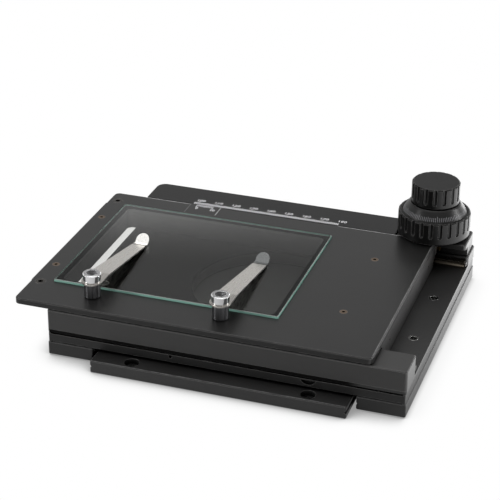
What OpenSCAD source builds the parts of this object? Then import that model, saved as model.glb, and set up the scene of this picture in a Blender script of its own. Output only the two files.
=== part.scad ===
// Mechanical X-Y stage for a stereo microscope.
// A mounting plate stays on the stand. A carriage slides on it along Y, a stage plate slides on the
// carriage along X, and two coaxial knobs drive the slides through pinions and racks.
// Millimetres. Origin: middle of the carriage's footprint, on the underside of the mounting plate.
// +X to the right, +Y to the back, +Z up. Rest pose: stage plate fully left, carriage fully back.

/* [Carriage] */
// Width of the carriage, left to right
stage_w = 180; // [170:1:200]
// Depth of the carriage, front to back
stage_d = 150; // [145:1:170]
// Gap between the carriage's underside and the surface that it stands on
ground_gap = 0.5; // [0.3:0.1:1]
// Height of the two guide blocks
guide_block_h = 7.1; // [7:0.1:9]
// Thickness of the spacer plate between the guide blocks and the channel floor
spacer_h = 5.1; // [4.6:0.1:6]
// How far the spacer plate stands back from the carriage's sides
spacer_inset = 0.4; // [0.2:0.1:1.5]
// Thickness of the channel floor
floor_h = 1.9; // [1.6:0.1:2.5]
// Diameter of the round opening through floor and spacer plate
opening_d = 80; // [50:1:84]
// Depth of the front bar, front to back
front_bar_d = 17.3; // [15:0.1:19]
// Height of the front bar above the channel floor
front_bar_h = 10.4; // [10.4:0.1:14]
// Depth of the rear beam, front to back
rear_beam_d = 16.1; // [15.5:0.1:18]
// Height of the rear beam above the channel floor
rear_beam_h = 5; // [4.5:0.1:5.3]
// Width of each guide block
guide_block_w = 23.7; // [20:0.1:26]
// Width of the open channel between the stage plate's right end and the carriage's right side
trough_w = 16.8; // [14:0.1:19]
// Radius of the carriage's upright corners
corner_r = 1.5; // [0.8:0.1:3]
// Radius of the upright corners of the guide blocks, the spacer plate and the mounting plate
block_corner_r = 0.7; // [0.6:0.1:2]
// Height of the relief grooves along the spacer plate's front and rear edges
seam_h = 0.6; // [0.4:0.1:0.8]
// Depth of the relief grooves
seam_depth = 1.2; // [0.6:0.1:1.6]
// Chamfer on the carriage's long edges
edge_chamfer = 0.5; // [0.2:0.1:0.5]

/* [Mounting plate] */
// Thickness of the mounting plate
mount_plate_h = 6.5; // [5.8:0.1:7]
// Distance from the carriage's rear side at rest to the mounting plate's rear edge
mount_rear_inset = 4.1; // [2:0.1:8]
// How far the mounting plate stands out in front of the carriage at rest
front_reach = 9.1; // [8:0.1:11]
// Distance between the mounting holes along X
mount_hole_x = 88.5; // [60:0.5:96]
// Distance from a mounting hole to the plate's front or rear edge
mount_hole_inset = 5.1; // [5:0.1:6]
// Diameter of the mounting holes
mount_hole_d = 4.5; // [3:0.1:5]
// Diameter of the counterbores for the screw heads
mount_bore_d = 7.4; // [6:0.1:8]
// Depth of the counterbores
mount_bore_h = 2.9; // [1:0.1:3.8]

/* [Stage plate] */
// Thickness of the stage plate
plate_h = 3; // [2.8:0.1:3.3]
// Gap between the front bar and the stage plate above it
plate_gap = 0.7; // [0.3:0.1:0.8]
// How far the stage plate stands out to the left of the carriage at rest
plate_overhang = 17.3; // [10:0.1:20]
// Gap between the stage plate's rear edge and the scale plate
seam_gap = 0.4; // [0.3:0.1:0.8]
// Radius of the stage plate's corners
plate_corner_r = 3; // [2:0.5:6]
// Travel of the stage plate along X
x_travel = 75; // [50:1:80]
// Travel of the carriage along Y
y_travel = 50; // [40:1:52]
// Chamfer along the stage plate's top edge
plate_chamfer = 0.5; // [0.2:0.1:0.8]
// How far the middle of the left edge stands out past its corners
edge_step = 0.4; // [0.3:0.1:1.2]
// Distance from the stage plate's front edge to the step in its left edge
edge_step_front = 20.5; // [18:0.5:26]
// Distance from the stage plate's rear edge to the step in its left edge
edge_step_rear = 13.8; // [10:0.1:26]
// Gap between the channel floor and the stage frame's foot, between the moving rails
frame_clear = 1.3; // [0.8:0.1:2.5]
// Thickness of the end cover at the right of the stage frame
end_cover_h = 2; // [1.5:0.1:3]

/* [Glass] */
// Thickness of the glass plate
glass_h = 3; // [2.4:0.1:3.2]
// Distance from the stage plate's left edge to the glass
glass_inset_x = 11.3; // [10.6:0.1:13]
// Distance from the stage plate's right end to the glass
glass_inset_right = 52.5; // [50:0.1:60]
// Distance from the stage plate's front edge to the glass
glass_inset_y = 22.3; // [22:0.1:23]
// Distance from the stage plate's rear edge to the glass
glass_inset_rear = 14.3; // [13:0.1:19]
// How far the glass stands above the stage plate
glass_proud = 1.2; // [0.5:0.1:1.4]
// Width of the ledge that carries the glass
glass_ledge = 3; // [2:0.1:3]
// Gap round the glass in its recess
glass_gap = 0.3; // [0.2:0.1:0.4]

/* [Guides] */
// Height of the guide rails for X
rail_h = 3.6; // [3.2:0.1:3.8]
// Width of the guide rails for X
rail_w = 3.7; // [3.4:0.1:3.9]
// Gap between a fixed rail and the moving rail beside it
rail_gap = 0.5; // [0.45:0.05:0.6]
// Depth of the V grooves in the rails
rail_groove = 0.9; // [0.8:0.05:1]
// Gap between the mounting plate and each guide block
guide_gap = 2.2; // [1.8:0.1:2.6]
// Depth of the V grooves in the mounting plate and the guide blocks
guide_groove = 1; // [0.8:0.1:1.2]
// Clearance between a ball and its grooves
ball_clear = 0.06; // [0.04:0.01:0.1]
// Thickness of the ball cages' strips
cage_t = 0.24; // [0.2:0.02:0.26]
// Spacing of the balls in the X cages
x_ball_pitch = 6; // [4:0.5:10]
// Spacing of the balls in the Y cages
y_ball_pitch = 7.5; // [5:0.5:12]
// Running gap between faces that slide past each other
run_gap = 0.3; // [0.2:0.05:0.4]

/* [Drive] */
// Distance from the carriage's right side to the knobs' axis
drive_inset_x = 20.6; // [20.5:0.1:21.5]
// Distance from the carriage's rear side to the knobs' axis
drive_inset_y = 10.5; // [10.3:0.1:10.7]
// Module of the racks and pinions
gear_module = 0.8; // [0.7:0.05:0.82]
// Number of teeth on each pinion
pinion_teeth = 14; // [13:1:14]
// Pressure angle of the racks and pinions
pressure_angle = 25; // [22:1:27]
// Backlash between a pinion and its rack, along the pitch line
backlash = 0.12; // [0.08:0.01:0.2]
// Radius of the inner shaft, which turns the Y pinion
inner_shaft_r = 2; // [1.6:0.1:2.2]
// Outer radius of the hollow shaft, which turns the X pinion
outer_shaft_r = 3.5; // [3:0.1:3.6]
// Radial clearance of a shaft that turns in a bore
shaft_clear = 0.05; // [0.03:0.01:0.1]
// Radial clearance of a shaft that is fixed in a bore
fit_clear = 0.02; // [0.01:0.01:0.04]
// Outer radius of the bearing bush
bush_r = 5; // [4.6:0.1:5.4]
// Radius of the bearing bush's flange
bush_flange_r = 8; // [7:0.1:9]
// Width of the knob housing
housing_w = 37.5; // [36:0.5:38.5]
// Height of the knob housing above the rear beam
housing_h = 8.4; // [7.6:0.1:8.6]
// Inset of the knob housing from the carriage's right and rear sides
housing_inset = 1; // [1:0.1:2]
// Thickness of the lip at the top of the knob housing
lip_h = 2.9; // [1.8:0.1:3]

/* [Knobs] */
// Radius of the large knob, which drives X
x_knob_r = 18.9; // [17:0.1:19.5]
// Height of the large knob
x_knob_h = 12.1; // [10:0.1:14]
// Gap between the stage plate's top and the large knob above it
knob_gap = 0.9; // [0.6:0.1:1.5]
// Number of grip flutes on the large knob
x_flutes = 24; // [16:1:30]
// Radius of the graduated dial at its foot
dial_r = 16.8; // [15:0.1:16.8]
// Radius of the graduated dial at its top
dial_top_r = 13.6; // [13:0.1:14.5]
// Height of the graduated dial's cone
dial_h = 5.1; // [3:0.1:6]
// Radius of the small knob, which drives Y
y_knob_r = 12.6; // [11:0.1:12.9]
// Height of the small knob
y_knob_h = 11; // [9:0.1:14]
// Number of grip flutes on the small knob
y_flutes = 16; // [12:1:20]
// Radius of the grip flutes
flute_r = 1.1; // [0.8:0.1:1.3]

/* [Clips] */
// Distance between the two clip posts
post_spacing = 66.2; // [60:0.1:72]
// Distance from the stage plate's left edge to the left post
post_inset_x = 35.6; // [30:0.1:38]
// Distance from the stage plate's front edge to the posts
post_inset_y = 14.4; // [11:0.1:16.5]
// Radius of the clip posts
post_r = 4.1; // [3.5:0.1:4.4]
// Height of the clip posts
post_h = 7.8; // [6:0.1:10]
// Distance from the post's axis to the fold that presses on the specimen
clip_length = 57.8; // [45:0.1:66]
// Width of the clip's blade at the fold, to which it tapers from the round eye
clip_w = 7.1; // [5:0.1:8.5]
// Radius of the clip's round eye
clip_eye_r = 5.3; // [5.2:0.1:6.5]
// Thickness of the clip's spring steel
clip_t = 0.8; // [0.4:0.1:0.9]
// Length of the turned-up tip, past the fold
tip_length = 6; // [5.1:0.1:8]
// Angle of the turned-up tip above level
tip_angle = 41; // [25:1:50]
// Gap between the clip's fold and the glass
clip_gap = 0.1; // [0.05:0.05:0.2]
// Radius of the clip screw's head
clip_head_r = 4.5; // [4.2:0.1:5]
// Height of the clip screw's head
clip_head_h = 4.1; // [3:0.1:6]
// Angle of the left clip at rest, from straight back towards the right
left_clip_angle = 2.5; // [0:0.1:20]
// Angle of the right clip at rest, from straight back towards the right
right_clip_angle = 1.7; // [0:0.1:20]

/* [Scale] */
// Gap between the scale plate and the knob housing
scale_end_gap = 0.5; // [0.3:0.1:2]
// Distance from the carriage's left side to the scale plate
scale_inset = 0.9; // [0.5:0.1:1.2]
// Radius of the scale plate's rear left corner
scale_corner_r = 5; // [4:0.5:8]
// Width of the vernier plate
vernier_w = 17.4; // [14:0.1:20]
// Depth of the vernier plate
vernier_d = 11.3; // [10:0.1:11.8]
// Thickness of the vernier plate
vernier_h = 0.8; // [0.6:0.1:1]
// Distance from the stage plate's left edge to the vernier plate
vernier_inset = 44; // [40:0.1:50]

/* [Fasteners] */
// Head diameter of the carriage screws
carriage_head_d = 5; // [4:0.1:5.4]
// Shank diameter of the carriage screws
carriage_shank_d = 3; // [2:0.1:3.2]
// Distance from the carriage's sides to the carriage screws
carriage_screw_inset = 9; // [8.6:0.1:11]
// Distance from the carriage's front to the front carriage screws
carriage_screw_front = 50; // [40:0.5:60]
// Distance from the carriage's rear to the rear carriage screws
carriage_screw_rear = 56.5; // [40:0.5:60]
// Distance from the carriage's sides to the outer screws in the bars
beam_screw_inset = 30; // [24:1:34]
// Head diameter of the small screws in the rails and racks
small_head_d = 2.6; // [2.2:0.1:2.8]
// Shank diameter of the small screws in the rails and racks
small_shank_d = 1.6; // [1.2:0.1:1.8]
// Distance from the carriage's sides to the outer screws in the fixed rails
rail_screw_inset = 10; // [8:0.5:16]
// Head diameter of the screws in the stage plate
plate_head_d = 3.8; // [3:0.1:4]
// Distance from the stage plate's right end to its right screws
plate_screw_right = 24.8; // [20:0.1:40]
// Distance from the stage plate's front edge to its front screws
plate_screw_front = 39.5; // [36:0.1:50]
// Distance from the stage plate's rear edge to its rear screws
plate_screw_rear = 31.7; // [26:0.1:40]
// Head diameter of the two larger screws in the left edge
edge_head_d = 5.4; // [4:0.1:5.6]
// Distance from the stage plate's front edge to the front edge screw
edge_screw_front = 20.2; // [16:0.1:26]
// Distance from the stage plate's rear edge to the rear edge screw
edge_screw_rear = 9.8; // [8:0.1:16]
// Clearance round a screw in its hole
screw_gap = 0.05; // [0.03:0.01:0.1]

/* [Hidden] */
$fn = 48;

// a small overlap that keeps cuts open at a face
eps = 0.1;

// Heights of the faces in the stack, from the bottom up
guide_top_z = ground_gap + guide_block_h;
spacer_top_z = guide_top_z + spacer_h;
floor_z = spacer_top_z + floor_h;
bar_top_z = floor_z + front_bar_h;
beam_top_z = floor_z + rear_beam_h;
plate_z = bar_top_z + plate_gap;
plate_top_z = plate_z + plate_h;
glass_top_z = plate_top_z + glass_proud;
glass_z = glass_top_z - glass_h;
moving_rail_z = floor_z + run_gap;
frame_z = moving_rail_z + rail_h;
groove_z = floor_z + (rail_h + run_gap) / 2;
housing_top_z = beam_top_z + housing_h;

// Outlines seen from above
right_x = stage_w / 2;
left_x = -right_x;
rear_y = stage_d / 2;
front_y = -rear_y;
mount_y = front_y - front_reach;
mount_half_w = right_x - guide_block_w - guide_gap;
mount_plate_w = 2 * mount_half_w;
mount_plate_d = rear_y - mount_rear_inset - mount_y;
bar_back_y = front_y + front_bar_d;
beam_front_y = rear_y - rear_beam_d;
moving_front_y = bar_back_y + rail_w + rail_gap;
moving_rear_y = beam_front_y - 2 * rail_w - rail_gap;
plate_x = left_x - plate_overhang;
plate_end_x = right_x - trough_w;
plate_w = plate_end_x - plate_x;
plate_rear_y = beam_front_y - rail_w - seam_gap;
plate_d = plate_rear_y - front_y;
glass_x = plate_x + glass_inset_x;
glass_y = front_y + glass_inset_y;
glass_w = plate_w - glass_inset_x - glass_inset_right;
glass_d = plate_d - glass_inset_y - glass_inset_rear;

// Stage frame, under the stage plate
frame_side = 1.2;
frame_bar_gap = 0.9;
frame_rear_gap = 0.2;
frame_x = plate_x + frame_side;
frame_end_x = plate_end_x - end_cover_h;
frame_w = frame_end_x - frame_x;
frame_y = bar_back_y + frame_bar_gap;
frame_rear_y = plate_rear_y - frame_rear_gap;
frame_d = frame_rear_y - frame_y;
frame_h = plate_z - frame_z;
foot_gap = 0.2;
foot_z = floor_z + frame_clear;
foot_y = moving_front_y + rail_w + foot_gap;
foot_d = moving_rear_y - foot_gap - foot_y;

// Drive
drive_x = right_x - drive_inset_x;
drive_y = rear_y - drive_inset_y;
pitch_r = gear_module * pinion_teeth / 2;
tooth_pitch = PI * gear_module;
addendum = gear_module;
dedendum = 1.25 * gear_module;
tip_r = pitch_r + addendum;
root_r = pitch_r - dedendum;
pinion_gap = 0.5;
housing_x = right_x - housing_inset - housing_w;
scale_x = left_x + scale_inset;
scale_w = housing_x - scale_end_gap - scale_x;
housing_rear_y = rear_y - housing_inset;
scale_y = plate_rear_y + seam_gap;
housing_d = housing_rear_y - scale_y;
y_pinion_z = guide_top_z + pinion_gap;
y_pinion_top_z = spacer_top_z - pinion_gap;
x_pinion_z = beam_top_z + pinion_gap;
x_pinion_top_z = housing_top_z - lip_h - run_gap;
knob_z = plate_top_z + knob_gap;
dial_z = knob_z + x_knob_h;
y_knob_z = dial_z + dial_h + run_gap;
y_knob_top_z = y_knob_z + y_knob_h;

// Rack along Y, on the mounting plate: its pitch line touches the Y pinion's pitch circle
rack_margin = 6;
rack_top_step = 0.2;
y_rack_top_z = y_pinion_top_z - rack_top_step;
y_rack_back = 5;
y_rack_x = drive_x - pitch_r - y_rack_back;
y_rack_y = drive_y - y_travel - rack_margin;
y_rack_d = y_travel + 2 * rack_margin;

// Rack along X, on the back of the stage frame
x_rack_x = drive_x - x_travel - rack_margin;
x_rack_w = plate_end_x - x_rack_x;
x_rack_back = drive_y - pitch_r - frame_rear_y;

// Fixed rails stop short of the carriage's sides, to leave room for the end screws' heads
rail_end_inset = 1.3;
fixed_rail_w = stage_w - 2 * rail_end_inset;

// Balls: each touches both V grooves but for its clearance
groove_reach = sqrt(0.5);
x_ball_r = (rail_gap / 2 + rail_groove) * groove_reach - ball_clear;
y_ball_r = (guide_gap / 2 + guide_groove) * groove_reach - ball_clear;
guide_groove_z = (ground_gap + mount_plate_h) / 2;
cage_margin = 1;
x_cage_x = frame_x + x_travel / 2 + cage_margin;
x_cage_end_x = right_x - rail_end_inset - x_travel / 2 - cage_margin;
x_cage_len = x_cage_end_x - x_cage_x;
y_cage_y = mount_y + y_travel / 2 + cage_margin;
y_cage_end_y = rear_y - y_travel / 2 - cage_margin;
y_cage_len = y_cage_end_y - y_cage_y;

// ---------------------------------------------------------------- shapes that repeat

// Upright slab with round corners and chamfers, its low corner at the origin
module slab(w, d, h, r, top = 0, foot = 0) {
    for (x = [r, w - r], y = [r, d - r])
        translate([x, y, 0])
            rotate_extrude()
                polygon([[0, 0], [r - foot, 0], [r, foot], [r, h - top], [r - top, h], [0, h]]);
    translate([r, 0, 0])
        rotate([90, 0, 90])
            linear_extrude(w - 2 * r)
                slab_profile(d, h, top, foot);
    translate([0, d - r, 0])
        rotate([90, 0, 0])
            linear_extrude(d - 2 * r)
                slab_profile(w, h, top, foot);
}

module slab_profile(w, h, top, foot) {
    polygon([[foot, 0], [w - foot, 0], [w, foot], [w, h - top], [w - top, h], [top, h],
        [0, h - top], [0, foot]]);
}

// V groove along X, cut into the +Y or -Y face that lies at y = 0
module groove_x(length, depth) {
    rotate([0, 90, 0])
        rotate([0, 0, 45])
            translate([-depth * groove_reach, -depth * groove_reach, 0])
                cube([2 * depth * groove_reach, 2 * depth * groove_reach, length]);
}

// Screw with a flat head: its head's top at z = 0, its shank downwards
module screw(head_d, head_h, shank_d, length, socket_d) {
    difference() {
        union() {
            translate([0, 0, -head_h])
                cylinder(d = head_d, h = head_h);
            translate([0, 0, -length])
                cylinder(d = shank_d, h = length);
        }
        translate([0, 0, -head_h * 0.6])
            cylinder(d = socket_d, h = head_h, $fn = 6);
    }
}

// The hole for such a screw
module screw_hole(head_d, head_h, shank_d, length) {
    translate([0, 0, -head_h - screw_gap])
        cylinder(d = head_d + 2 * screw_gap, h = head_h + screw_gap + eps);
    translate([0, 0, -length - screw_gap])
        cylinder(d = shank_d + 2 * screw_gap, h = length + screw_gap + eps);
}

// Involute of the base circle: how far it has turned at radius r, in degrees
half_turn = 180;
function roll_at(base_r, r) = sqrt(max(0, r * r / (base_r * base_r) - 1)) * half_turn / PI
    - acos(min(1, base_r / r));

// Half a tooth's angle at radius r
function half_tooth(r) = let (base_r = pitch_r * cos(pressure_angle))
    (tooth_pitch / 2 - backlash) / (2 * pitch_r) * half_turn / PI
    + roll_at(base_r, pitch_r) - roll_at(base_r, max(r, base_r));

// Outline of a pinion, with a tooth on the -X axis of its own frame
module pinion_outline() {
    steps = 5;
    radii = [for (i = [0:steps]) root_r + (tip_r - root_r) * i / steps];
    polygon([for (tooth = [0:pinion_teeth - 1]) let (mid = half_turn + tooth * 2 * half_turn / pinion_teeth)
        each concat(
            [for (r = radii) [r * cos(mid - half_tooth(r)), r * sin(mid - half_tooth(r))]],
            [for (i = [steps:-1:0]) let (r = radii[i])
                [r * cos(mid + half_tooth(r)), r * sin(mid + half_tooth(r))]])]);
}

// Outline of a rack along Y from y = 0, its pitch line on x = 0 and its teeth towards +X.
// One gap between teeth is centred on y = gap_y.
module rack_outline(length, back, gap_y) {
    flank = tan(pressure_angle);
    half_root = tooth_pitch / 4 - backlash / 4 + dedendum * flank;
    half_tip = tooth_pitch / 4 - backlash / 4 - addendum * flank;
    first = floor((gap_y - tooth_pitch) / tooth_pitch);
    last = floor((length - gap_y - tooth_pitch) / tooth_pitch);
    polygon(concat(
        [[-back, 0], [-dedendum, 0]],
        [for (i = [-first:last]) let (mid = gap_y + (i + 0.5) * tooth_pitch)
            each [[-dedendum, mid - half_root], [addendum, mid - half_tip],
                [addendum, mid + half_tip], [-dedendum, mid + half_root]]],
        [[-dedendum, length], [-back, length]]));
}

// Upright knob with grip flutes that end in round bottoms
module fluted_knob(r, h, flutes, foot) {
    rim = 0.6;
    difference() {
        rotate_extrude()
            polygon([[0, 0], [r - rim, 0], [r, rim], [r, h - rim], [r - rim, h], [0, h]]);
        for (i = [0:flutes - 1])
            rotate([0, 0, (i + 0.5) * 360 / flutes])
                translate([r + flute_r * 0.25, 0, foot + flute_r]) {
                    cylinder(r = flute_r, h = h, $fn = 24);
                    sphere(r = flute_r, $fn = 24);
                }
    }
}

// ---------------------------------------------------------------- places of the fasteners

// how far the screws reach into the piece that holds them
short_grip = 2.5;
screw_grip = 3;
long_grip = 4;
bar_grip = 6;

carriage_screw_places = [for (x = [left_x + carriage_screw_inset, right_x - carriage_screw_inset],
    y = [front_y + carriage_screw_front, rear_y - carriage_screw_rear]) [x, y]];
carriage_head_h = 1.8;
carriage_socket_d = 4;
carriage_screw_foot = 2;
carriage_screw_len = floor_z - ground_gap - carriage_screw_foot;

// screws from below that hold the front bar, the rear beam and the scale
beam_head_d = 5;
beam_head_h = 2;
beam_shank_d = 3;
beam_screw_back = 1;
housing_screw_left = 3.4;
housing_screw_right = 4.5;
bar_screw_y = front_y + front_bar_d / 2;
beam_screw_y = rear_y - rear_beam_d / 2 + beam_screw_back;
bar_screw_places = [for (x = [left_x + beam_screw_inset, 0, right_x - beam_screw_inset]) [x, bar_screw_y]];
riser_screw_places = [for (x = [left_x + beam_screw_inset, 0]) [x, beam_screw_y]];
bar_screw_top_z = floor_z + bar_grip;
riser_screw_top_z = plate_z + plate_h / 2;

// screws from above that hold the knob housing on the rear beam, under the large knob
housing_screw_places = [for (x = [housing_x + housing_screw_left,
    housing_x + housing_w - housing_screw_right]) [x, beam_screw_y]];
housing_screw_len = housing_h + long_grip;

rail_screw_count = 5;
rail_screw_pitch = (stage_w - 2 * rail_screw_inset) / (rail_screw_count - 1);
rail_screw_x = [for (i = [0:rail_screw_count - 1]) left_x + rail_screw_inset + i * rail_screw_pitch];
rail_screw_back = 1.3;
small_head_h = 0.9;
fixed_rail_screw_len = rail_h + floor_h;
fixed_rail_top_z = floor_z + rail_h;
moving_rail_screw_len = rail_h + screw_grip;

plate_shank_d = 2.2;
plate_head_h = 1.1;
plate_screw_side = 3.5;
plate_screw_len = plate_h + screw_grip;
plate_screw_places = [for (x = [frame_x + plate_screw_side, plate_end_x - plate_screw_right],
    y = [front_y + plate_screw_front, plate_rear_y - plate_screw_rear]) [x, y]];
edge_screw_side = 3.8;
edge_screw_places = [for (y = [front_y + edge_screw_front, plate_rear_y - edge_screw_rear])
    [frame_x + edge_screw_side, y]];
edge_shank_d = 3;
edge_head_h = 1.5;
edge_screw_len = plate_h + long_grip;

y_rack_screw_inset = 1.9;
y_rack_screw_y = [for (i = [0:2]) y_rack_y + rack_margin + i * y_travel / 2];
y_rack_screw_x = y_rack_x + y_rack_screw_inset;
y_rack_screw_len = y_rack_top_z - mount_plate_h + short_grip;
x_rack_screw_x = [for (i = [0:2]) x_rack_x + rack_margin + i * x_travel / 2];
x_rack_screw_z = (x_pinion_z + x_pinion_top_z) / 2;
x_rack_screw_len = x_rack_back + short_grip;

post_places = [for (i = [0, 1]) [plate_x + post_inset_x + i * post_spacing, front_y + post_inset_y]];
stud_r = 2;
stud_floor = 0.4;
stud_h = plate_h - stud_floor;
post_thread_h = 5;

// ---------------------------------------------------------------- mounting base

module mounting_plate() {
    color([0.2, 0.2, 0.2])
        difference() {
            translate([-mount_half_w, mount_y, 0])
                slab(mount_plate_w, mount_plate_d, mount_plate_h, block_corner_r, edge_chamfer, edge_chamfer);
            for (x = [-mount_hole_x / 2, mount_hole_x / 2],
                    y = [mount_y + mount_hole_inset, mount_y + mount_plate_d - mount_hole_inset])
                translate([x, y, -eps]) {
                    cylinder(d = mount_hole_d, h = mount_plate_h + 2 * eps);
                    translate([0, 0, mount_plate_h - mount_bore_h + eps])
                        cylinder(d = mount_bore_d, h = mount_bore_h + eps);
                }
            for (side = [-1, 1])
                translate([side * mount_half_w, mount_y - eps, guide_groove_z])
                    rotate([0, 0, 90])
                        groove_x(mount_plate_d + 2 * eps, guide_groove);
            for (y = y_rack_screw_y)
                translate([y_rack_screw_x, y, y_rack_top_z])
                    screw_hole(small_head_d, small_head_h, small_shank_d, y_rack_screw_len);
        }
}

module y_rack() {
    color([0.75, 0.75, 0.73])
        difference() {
            translate([drive_x - pitch_r, y_rack_y, mount_plate_h])
                linear_extrude(y_rack_top_z - mount_plate_h)
                    rack_outline(y_rack_d, y_rack_back, drive_y - y_rack_y);
            for (y = y_rack_screw_y)
                translate([y_rack_screw_x, y, y_rack_top_z])
                    screw_hole(small_head_d, small_head_h, small_shank_d, y_rack_screw_len);
        }
}

module y_rack_screws() {
    color([0.25, 0.25, 0.26])
        for (y = y_rack_screw_y)
            translate([y_rack_screw_x, y, y_rack_top_z])
                screw(small_head_d, small_head_h, small_shank_d, y_rack_screw_len, small_shank_d * 0.7);
}

// ---------------------------------------------------------------- Y carriage

// One of the two blocks beside the mounting plate: side is -1 on the left and 1 on the right
module guide_block(side) {
    color([0.2, 0.2, 0.2])
        difference() {
            translate([side > 0 ? right_x - guide_block_w : left_x, front_y, ground_gap])
                slab(guide_block_w, stage_d, guide_block_h, block_corner_r, edge_chamfer, edge_chamfer);
            translate([side * (right_x - guide_block_w), front_y - eps, guide_groove_z])
                rotate([0, 0, 90])
                    groove_x(stage_d + 2 * eps, guide_groove);
            for (place = carriage_screw_places)
                translate([place[0], place[1], floor_z])
                    screw_hole(carriage_head_d, carriage_head_h, carriage_shank_d, carriage_screw_len);
        }
}

module guide_block_left() {
    guide_block(-1);
}

module guide_block_right() {
    guide_block(1);
}

// Holes that the floor and the spacer plate share
module stack_holes() {
    translate([0, 0, guide_top_z - eps])
        cylinder(d = opening_d, h = floor_z - guide_top_z + 2 * eps, $fn = 96);
    for (place = carriage_screw_places)
        translate([place[0], place[1], floor_z])
            screw_hole(carriage_head_d, carriage_head_h, carriage_shank_d, carriage_screw_len);
    beam_screw_holes();
}

// Holes for the screws that come up from the spacer plate's underside
module beam_screw_holes() {
    for (place = bar_screw_places)
        beam_screw_hole(place, bar_screw_top_z);
    for (place = riser_screw_places)
        beam_screw_hole(place, riser_screw_top_z);
}

module housing_screw_holes() {
    for (place = housing_screw_places)
        translate([place[0], place[1], housing_top_z])
            screw_hole(beam_head_d, beam_head_h, beam_shank_d, housing_screw_len);
}

module beam_screw_hole(place, top_z) {
    translate([place[0], place[1], guide_top_z])
        mirror([0, 0, 1])
            screw_hole(beam_head_d, beam_head_h, beam_shank_d, top_z - guide_top_z);
}

// Relief grooves above and below the spacer plate's edge, at the front and the rear
module seam_grooves() {
    margin = 1.6;
    for (y = [front_y, rear_y], z = [guide_top_z, spacer_top_z])
        translate([left_x + margin, y - seam_depth, z - seam_h])
            cube([stage_w - 2 * margin, 2 * seam_depth, 2 * seam_h]);
}

module spacer_plate() {
    pocket_x = 42.9;
    pocket_r = 4.4;
    pocket_d = 2;
    pocket_h = 2.5;
    pocket_drop = 0.5;
    pocket_z = spacer_top_z - seam_h - pocket_drop - pocket_h;
    pin_hole_x = -25.9;
    pin_hole_r = 0.9;
    pin_hole_h = 3;
    pin_hole_drop = 1.6;
    rack_gap = 0.4;
    slot_x = y_rack_x - rack_gap;
    slot_y = y_rack_y - rack_gap;
    color([0.17, 0.17, 0.17])
        difference() {
            translate([left_x + spacer_inset, front_y, guide_top_z])
                slab(stage_w - 2 * spacer_inset, stage_d, spacer_h, block_corner_r);
            seam_grooves();
            stack_holes();
            // slot for the Y rack, open at the back, and room for the Y pinion
            translate([slot_x, slot_y, guide_top_z - eps])
                cube([drive_x - slot_x, stage_d, y_pinion_top_z - guide_top_z + eps]);
            translate([drive_x, drive_y, guide_top_z - eps])
                cylinder(r = tip_r + pinion_gap, h = spacer_h + 2 * eps);
            // half-round pocket above the right mounting hole, and a small pin hole
            intersection() {
                translate([pocket_x, front_y - eps, pocket_z + pocket_r])
                    rotate([-90, 0, 0])
                        cylinder(r = pocket_r, h = pocket_d + eps);
                translate([pocket_x - pocket_r, front_y - eps, pocket_z])
                    cube([2 * pocket_r, pocket_d + eps, pocket_h]);
            }
            translate([pin_hole_x, front_y - eps, spacer_top_z - pin_hole_drop])
                rotate([-90, 0, 0])
                    cylinder(r = pin_hole_r, h = pin_hole_h);
            fixed_rail_screw_holes();
        }
}

module channel_floor() {
    color([0.19, 0.19, 0.19])
        difference() {
            translate([left_x, front_y, spacer_top_z])
                slab(stage_w, stage_d, floor_h, corner_r, 0, edge_chamfer);
            stack_holes();
            translate([drive_x, drive_y, spacer_top_z - eps])
                cylinder(r = inner_shaft_r + run_gap, h = floor_h + 2 * eps);
            fixed_rail_screw_holes();
        }
}

module carriage_screws() {
    color([0.3, 0.29, 0.28])
        for (place = carriage_screw_places)
            translate([place[0], place[1], floor_z])
                screw(carriage_head_d, carriage_head_h, carriage_shank_d, carriage_screw_len,
                    carriage_socket_d);
}

module front_bar() {
    color([0.2, 0.2, 0.2])
        difference() {
            translate([left_x, front_y, floor_z])
                slab(stage_w, front_bar_d, front_bar_h, corner_r, edge_chamfer, 0);
            beam_screw_holes();
        }
}

module rear_beam() {
    color([0.2, 0.2, 0.2])
        difference() {
            translate([left_x, beam_front_y, floor_z])
                slab(stage_w, rear_beam_d, rear_beam_h, corner_r, edge_chamfer, 0);
            beam_screw_holes();
            housing_screw_holes();
            translate([drive_x, drive_y, floor_z - eps])
                cylinder(r = outer_shaft_r + fit_clear, h = rear_beam_h + 2 * eps);
        }
}

module beam_screw(place, top_z) {
    translate([place[0], place[1], guide_top_z])
        mirror([0, 0, 1])
            screw(beam_head_d, beam_head_h, beam_shank_d, top_z - guide_top_z, beam_shank_d * 0.8);
}

module beam_screws() {
    color([0.3, 0.3, 0.3]) {
        for (place = bar_screw_places)
            beam_screw(place, bar_screw_top_z);
        for (place = riser_screw_places)
            beam_screw(place, riser_screw_top_z);
        for (place = housing_screw_places)
            translate([place[0], place[1], housing_top_z])
                screw(beam_head_d, beam_head_h, beam_shank_d, housing_screw_len, beam_shank_d * 0.8);
    }
}

// Holes for the screws that hold the fixed rails down
module fixed_rail_screw_holes() {
    for (x = rail_screw_x, y = [bar_back_y + rail_screw_back, beam_front_y - rail_screw_back])
        translate([x, y, fixed_rail_top_z])
            screw_hole(small_head_d, small_head_h, small_shank_d, fixed_rail_screw_len);
}

// A fixed rail: side is 1 at the front, where its groove faces back, and -1 at the rear
module fixed_rail(side) {
    face_y = side > 0 ? bar_back_y + rail_w : beam_front_y - rail_w;
    low_y = side > 0 ? bar_back_y : face_y;
    color([0.72, 0.71, 0.68])
        difference() {
            translate([left_x + rail_end_inset, low_y, floor_z])
                cube([fixed_rail_w, rail_w, rail_h]);
            translate([left_x, face_y, groove_z])
                groove_x(stage_w, rail_groove);
            fixed_rail_screw_holes();
            rail_end_screw_holes();
        }
}

module fixed_rail_front() {
    fixed_rail(1);
}

module fixed_rail_rear() {
    fixed_rail(-1);
}

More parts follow.
